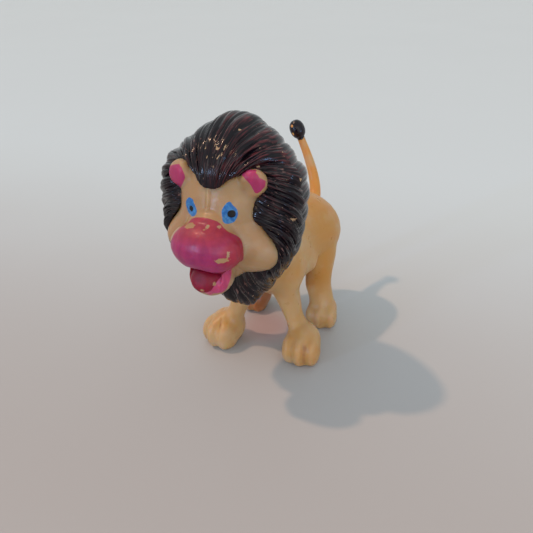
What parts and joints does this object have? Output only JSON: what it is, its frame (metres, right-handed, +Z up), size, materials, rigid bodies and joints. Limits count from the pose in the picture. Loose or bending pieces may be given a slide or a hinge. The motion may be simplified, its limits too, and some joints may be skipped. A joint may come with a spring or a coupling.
{
  "type": "toy lion figure",
  "caption": "Small standing toy lion in painted cast vinyl, with a snap-in turning head, a hood-like mane of sculpted hair and a raised tufted tail.",
  "frame": {"origin": "on the ground, under the middle of the figure's bounding box", "axes": "+Z up, -Y the way the lion faces, +X its own left side"},
  "size_m": [0.0276, 0.0572, 0.0541],
  "materials": {
    "cream_vinyl": "satin cast vinyl",
    "dark_hair_paint": "gloss paint over cast vinyl"
  },
  "bodies": {
    "body": {"body": "cream_vinyl", "tail": "cream_vinyl"},
    "head": {"head": "cream_vinyl", "mane": "dark_hair_paint"}
  },
  "joints": [
    {"name": "head_turn", "type": "hinge", "parent": "body", "child": "head", "pos_m": [0, -0.0054, 0.026], "axis": [0, -0.766, 0.6428], "range_deg": [-30, 30]}
  ]
}
